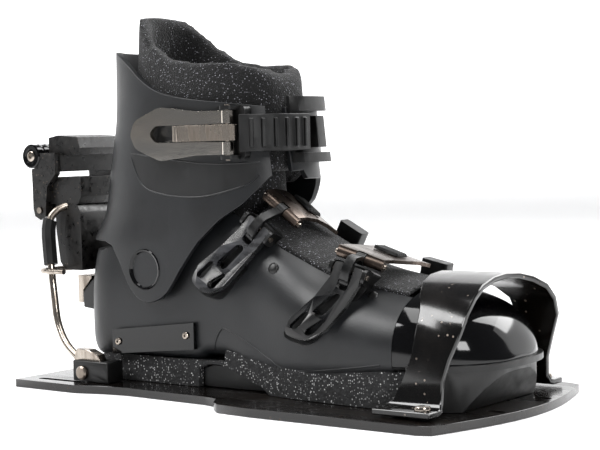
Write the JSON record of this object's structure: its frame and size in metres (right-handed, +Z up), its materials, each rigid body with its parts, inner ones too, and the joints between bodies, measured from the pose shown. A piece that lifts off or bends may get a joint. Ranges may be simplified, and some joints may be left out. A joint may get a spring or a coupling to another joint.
{
  "type": "water ski boot binding",
  "caption": "Hard-shell water-ski boot binding on a mounting plate, with hinged cuff, buckles, toe hoop and a sprung heel release bail.",
  "frame": {"origin": "underside of the base plate, midway along it", "axes": "+X towards the toe, +Y towards the inner side of the foot, +Z up"},
  "size_m": [0.37, 0.17, 0.236],
  "materials": {
    "plate_black": "glossy",
    "shell_plastic": "satin",
    "gloss_black": "gloss",
    "cast_black": "satin",
    "grip_grey": "rough",
    "liner_cloth": "woven",
    "chrome": "polished",
    "steel": "satin",
    "bronze_plate": "satin",
    "rubber_black": "satin"
  },
  "bodies": {
    "binding": {"base_plate": "plate_black", "toe_hoop": "gloss_black", "hoop_screw_near": "steel", "hoop_screw_far": "steel", "grip_sole": "grip_grey", "arch_block": "rubber_black", "lower_shell": "shell_plastic", "toe_cap": "gloss_black", "toe_lug": "rubber_black", "liner_foot": "liner_cloth", "liner_neck": "liner_cloth", "liner_tongue": "liner_cloth", "ankle_rivet_near": "gloss_black", "ankle_rivet_far": "gloss_black", "badge": "gloss_black", "badge_screw_1": "steel", "badge_screw_2": "steel", "heel_ledge": "gloss_black", "clevis_near": "cast_black", "clevis_far": "cast_black", "clevis_screw_near": "steel", "clevis_screw_far": "steel", "mid_base": "cast_black", "mid_pin": "steel", "mid_catch": "cast_black", "toe_base": "cast_black", "toe_pin": "steel", "toe_catch": "cast_black"},
    "cuff_group": {"cuff": "shell_plastic", "liner_collar": "liner_cloth", "cuff_buckle_base": "cast_black", "cuff_lever_pin": "steel", "ladder_frame": "cast_black"},
    "cuff_lever_group": {"cuff_lever": "chrome"},
    "cuff_link_group": {"cuff_link": "steel", "cuff_ladder": "cast_black"},
    "mid_lever_group": {"mid_lever": "bronze_plate"},
    "mid_link_group": {"mid_link": "cast_black", "mid_rod": "steel"},
    "mid_strap_group": {"mid_strap": "bronze_plate", "mid_ladder_block": "cast_black"},
    "toe_lever_group": {"toe_lever": "gloss_black"},
    "toe_link_group": {"toe_link": "cast_black", "toe_rod": "steel"},
    "toe_strap_group": {"toe_strap": "bronze_plate", "toe_ladder_block": "cast_black"},
    "bail_group": {"bail": "steel", "bail_clamp_near": "steel", "bail_clamp_far": "steel", "leg_sleeve_near": "rubber_black", "leg_sleeve_far": "rubber_black", "bail_tie": "steel", "release_housing": "cast_black", "release_saddle": "cast_black", "lever_axle": "steel", "release_spring": "steel"},
    "release_lever_group": {"release_lever": "cast_black", "lever_roller": "gloss_black"},
    "jaw_group": {"jaw": "steel"}
  },
  "joints": [
    {"name": "cuff_flex", "type": "hinge", "parent": "binding", "child": "cuff_group", "pos_m": [-0.076, 0, 0.077], "axis": [0, 1, 0], "range_deg": [-4, 0]},
    {"name": "cuff_lever_hinge", "type": "hinge", "parent": "cuff_group", "child": "cuff_lever_group", "pos_m": [-0.008, -0.0435, 0.16], "axis": [0, 0, 1], "range_deg": [0, 120]},
    {"name": "cuff_link_hinge", "type": "hinge", "parent": "cuff_lever_group", "child": "cuff_link_group", "pos_m": [-0.04379, -0.04743, 0.16], "axis": [0, 0, 1], "range_deg": [-120, 0]},
    {"name": "mid_lever_hinge", "type": "hinge", "parent": "binding", "child": "mid_lever_group", "pos_m": [0.0085, -0.038, 0.103], "axis": [-0.816, 0, 0.578], "range_deg": [0, 80]},
    {"name": "mid_link_hinge", "type": "hinge", "parent": "mid_lever_group", "child": "mid_link_group", "pos_m": [0.0052, -0.03984, 0.09834], "axis": [-0.816, 0, 0.578], "range_deg": [-80, 0]},
    {"name": "mid_strap_hinge", "type": "hinge", "parent": "mid_link_group", "child": "mid_strap_group", "pos_m": [0.01569, -0.02348, 0.11316], "axis": [0.816, 0, -0.578], "range_deg": [0, 5]},
    {"name": "toe_lever_hinge", "type": "hinge", "parent": "binding", "child": "toe_lever_group", "pos_m": [0.0785, -0.045, 0.08], "axis": [-0.9295, -0.1999, 0.3098], "range_deg": [0, 80]},
    {"name": "toe_link_hinge", "type": "hinge", "parent": "toe_lever_group", "child": "toe_link_group", "pos_m": [0.07703, -0.04676, 0.07445], "axis": [-0.9295, -0.1999, 0.3098], "range_deg": [-80, 0]},
    {"name": "toe_strap_hinge", "type": "hinge", "parent": "toe_link_group", "child": "toe_strap_group", "pos_m": [0.07766, -0.03146, 0.08621], "axis": [0.9295, 0.1999, -0.3098], "range_deg": [0, 25]},
    {"name": "bail_swing", "type": "hinge", "parent": "binding", "child": "bail_group", "pos_m": [-0.122, 0, 0.011], "axis": [0, -1, 0], "range_deg": [0, 35]},
    {"name": "release_lever_hinge", "type": "hinge", "parent": "bail_group", "child": "release_lever_group", "pos_m": [-0.183, 0, 0.112], "axis": [0, -1, 0], "range_deg": [0, 75]},
    {"name": "jaw_slide", "type": "slide", "parent": "bail_group", "child": "jaw_group", "axis": [0, 0, 1], "range_m": [0, 0.004], "deforming": ["release_spring"]}
  ],
  "couplings": [
    {"joint": "cuff_link_hinge", "follows": "cuff_lever_hinge", "ratio": -1},
    {"joint": "mid_link_hinge", "follows": "mid_lever_hinge", "ratio": -1},
    {"joint": "toe_link_hinge", "follows": "toe_lever_hinge", "ratio": -1},
    {"joint": "jaw_slide", "follows": "release_lever_hinge", "m_per_rad": 0.00305}
  ]
}
